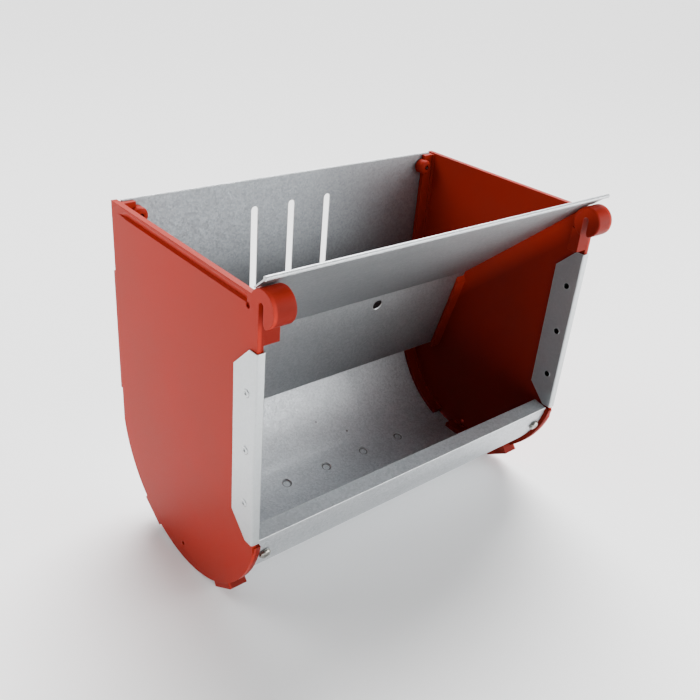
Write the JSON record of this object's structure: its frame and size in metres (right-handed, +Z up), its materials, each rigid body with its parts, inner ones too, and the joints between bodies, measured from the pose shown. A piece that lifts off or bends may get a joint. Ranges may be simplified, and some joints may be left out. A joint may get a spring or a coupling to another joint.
{
  "type": "rabbit feeder",
  "caption": "Cage feeder for rabbits: a bent galvanised hopper and half-round trough between two moulded end plates, with a feed baffle and edge guards.",
  "frame": {"origin": "middle of the bottom of the bounding box, under the round bottoms of the end plates", "axes": "+X along the width, to the right as seen from the feeding side; -Y towards the feeding side, where the animal eats and the hooks are; +Z up"},
  "size_m": [0.2516, 0.1608, 0.2174],
  "materials": {
    "red_moulded_plastic": "matte red moulded plastic",
    "galvanised_sheet": "dull galvanised sheet with fine spangle",
    "zinc_plated_steel": "zinc plated"
  },
  "bodies": {
    "hopper": {"left_end_plate": "red_moulded_plastic", "right_end_plate": "red_moulded_plastic", "trough_sheet": "galvanised_sheet", "left_edge_guard": "galvanised_sheet", "right_edge_guard": "galvanised_sheet", "left_guard_rivet_0": "zinc_plated_steel", "left_guard_rivet_1": "zinc_plated_steel", "left_guard_rivet_2": "zinc_plated_steel", "right_guard_rivet_0": "zinc_plated_steel", "right_guard_rivet_1": "zinc_plated_steel", "right_guard_rivet_2": "zinc_plated_steel", "left_lip_screw": "zinc_plated_steel", "right_lip_screw": "zinc_plated_steel", "left_back_screw": "zinc_plated_steel", "right_back_screw": "zinc_plated_steel"},
    "baffle": {"feed_baffle": "galvanised_sheet"}
  },
  "joints": [
    {"name": "baffle_lift", "type": "slide", "parent": "hopper", "child": "baffle", "axis": [0, -0.2644, 0.9644], "range_m": [0, 0.075]}
  ]
}
